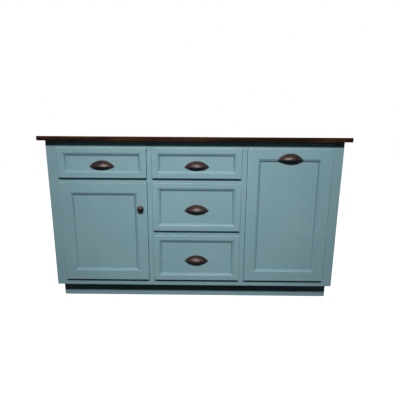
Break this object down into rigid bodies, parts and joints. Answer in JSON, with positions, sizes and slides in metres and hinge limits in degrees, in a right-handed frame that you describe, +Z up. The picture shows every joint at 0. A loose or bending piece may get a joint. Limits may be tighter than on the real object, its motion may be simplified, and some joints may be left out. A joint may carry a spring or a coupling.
{
  "type": "kitchen island unit",
  "caption": "Kitchen island base unit with a wooden top, face frame, drawers, a hinged cupboard door and a pull-out bin carrier behind a tall front.",
  "frame": {"origin": "on the floor, under the middle of the box that holds the whole unit", "axes": "+X along the fronts to the right, -Y the way the fronts face, +Z up"},
  "size_m": [1.564, 0.6926, 0.914],
  "materials": {
    "painted_wood": "dusty blue-green satin paint over wood",
    "stained_wood": "dark brown stain under a satin clear coat",
    "carcass_plywood": "clear-coated birch plywood",
    "box_plywood": "clear-coated birch plywood",
    "dark_bronze": "oil-rubbed dark bronze",
    "zinc_steel": "bright zinc plate",
    "hinge_steel": "nickel plate",
    "bin_plastic": "dark grey moulded plastic"
  },
  "bodies": {
    "carcass": {"countertop": "stained_wood", "left_side": "carcass_plywood", "right_side": "carcass_plywood", "end_panels": "painted_wood", "partitions": "carcass_plywood", "floor_panel": "carcass_plywood", "back_panel": "painted_wood", "left_stile": "painted_wood", "right_stile": "painted_wood", "mullions": "painted_wood", "top_rail": "painted_wood", "bottom_rail": "painted_wood", "drawer_rails": "painted_wood", "top_stretchers": "carcass_plywood", "toe_kick": "painted_wood", "plinth_supports": "carcass_plywood", "shelf": "carcass_plywood", "shelf_pins": "zinc_steel", "cabinet_slides": "zinc_steel", "slide_spacers": "carcass_plywood", "countertop_screws": "zinc_steel", "hinge_plates": "hinge_steel"},
    "hinge_links": {"hinge_links": "hinge_steel"},
    "door": {"door_frame": "painted_wood", "door_panel": "painted_wood", "door_knob": "dark_bronze", "hinge_cups": "hinge_steel"},
    "left_drawer": {"left_drawer_front": "painted_wood", "left_drawer_box": "box_plywood", "left_drawer_bottom": "box_plywood", "left_drawer_pull": "dark_bronze", "left_drawer_runners": "zinc_steel"},
    "left_drawer_slide": {"left_drawer_middles": "zinc_steel"},
    "upper_drawer": {"upper_drawer_front": "painted_wood", "upper_drawer_box": "box_plywood", "upper_drawer_bottom": "box_plywood", "upper_drawer_pull": "dark_bronze", "upper_drawer_runners": "zinc_steel"},
    "upper_drawer_slide": {"upper_drawer_middles": "zinc_steel"},
    "middle_drawer": {"middle_drawer_front": "painted_wood", "middle_drawer_box": "box_plywood", "middle_drawer_bottom": "box_plywood", "middle_drawer_pull": "dark_bronze", "middle_drawer_runners": "zinc_steel"},
    "middle_drawer_slide": {"middle_drawer_middles": "zinc_steel"},
    "lower_drawer": {"lower_drawer_front": "painted_wood", "lower_drawer_box": "box_plywood", "lower_drawer_bottom": "box_plywood", "lower_drawer_pull": "dark_bronze", "lower_drawer_runners": "zinc_steel"},
    "lower_drawer_slide": {"lower_drawer_middles": "zinc_steel"},
    "bin_pull_out": {"bin_front_frame": "painted_wood", "bin_front_panel": "painted_wood", "bin_carrier": "box_plywood", "carrier_bottom": "box_plywood", "front_bin": "bin_plastic", "rear_bin": "bin_plastic", "bin_pull": "dark_bronze", "bin_runners": "zinc_steel"},
    "bin_slide": {"bin_middles": "zinc_steel"}
  },
  "joints": [
    {"name": "hinge_link_travel", "type": "slide", "parent": "carcass", "child": "hinge_links", "axis": [0, -1, 0], "range_m": [0, 0.0265]},
    {"name": "door_swing", "type": "hinge", "parent": "hinge_links", "child": "door", "pos_m": [-0.682, -0.3038, 0.4105], "axis": [0, 0, -1], "range_deg": [0, 100]},
    {"name": "left_drawer_travel", "type": "slide", "parent": "carcass", "child": "left_drawer", "axis": [0, -1, 0], "range_m": [0, 0.53]},
    {"name": "left_drawer_slide_travel", "type": "slide", "parent": "carcass", "child": "left_drawer_slide", "axis": [0, -1, 0], "range_m": [0, 0.265]},
    {"name": "upper_drawer_travel", "type": "slide", "parent": "carcass", "child": "upper_drawer", "axis": [0, -1, 0], "range_m": [0, 0.53]},
    {"name": "upper_drawer_slide_travel", "type": "slide", "parent": "carcass", "child": "upper_drawer_slide", "axis": [0, -1, 0], "range_m": [0, 0.265]},
    {"name": "middle_drawer_travel", "type": "slide", "parent": "carcass", "child": "middle_drawer", "axis": [0, -1, 0], "range_m": [0, 0.53]},
    {"name": "middle_drawer_slide_travel", "type": "slide", "parent": "carcass", "child": "middle_drawer_slide", "axis": [0, -1, 0], "range_m": [0, 0.265]},
    {"name": "lower_drawer_travel", "type": "slide", "parent": "carcass", "child": "lower_drawer", "axis": [0, -1, 0], "range_m": [0, 0.53]},
    {"name": "lower_drawer_slide_travel", "type": "slide", "parent": "carcass", "child": "lower_drawer_slide", "axis": [0, -1, 0], "range_m": [0, 0.265]},
    {"name": "bin_pull_out_travel", "type": "slide", "parent": "carcass", "child": "bin_pull_out", "axis": [0, -1, 0], "range_m": [0, 0.53]},
    {"name": "bin_slide_travel", "type": "slide", "parent": "carcass", "child": "bin_slide", "axis": [0, -1, 0], "range_m": [0, 0.265]}
  ],
  "couplings": [
    {"joint": "hinge_link_travel", "follows": "door_swing", "m_per_rad": 0.015},
    {"joint": "left_drawer_slide_travel", "follows": "left_drawer_travel", "ratio": 0.5},
    {"joint": "upper_drawer_slide_travel", "follows": "upper_drawer_travel", "ratio": 0.5},
    {"joint": "middle_drawer_slide_travel", "follows": "middle_drawer_travel", "ratio": 0.5},
    {"joint": "lower_drawer_slide_travel", "follows": "lower_drawer_travel", "ratio": 0.5},
    {"joint": "bin_slide_travel", "follows": "bin_pull_out_travel", "ratio": 0.5}
  ]
}
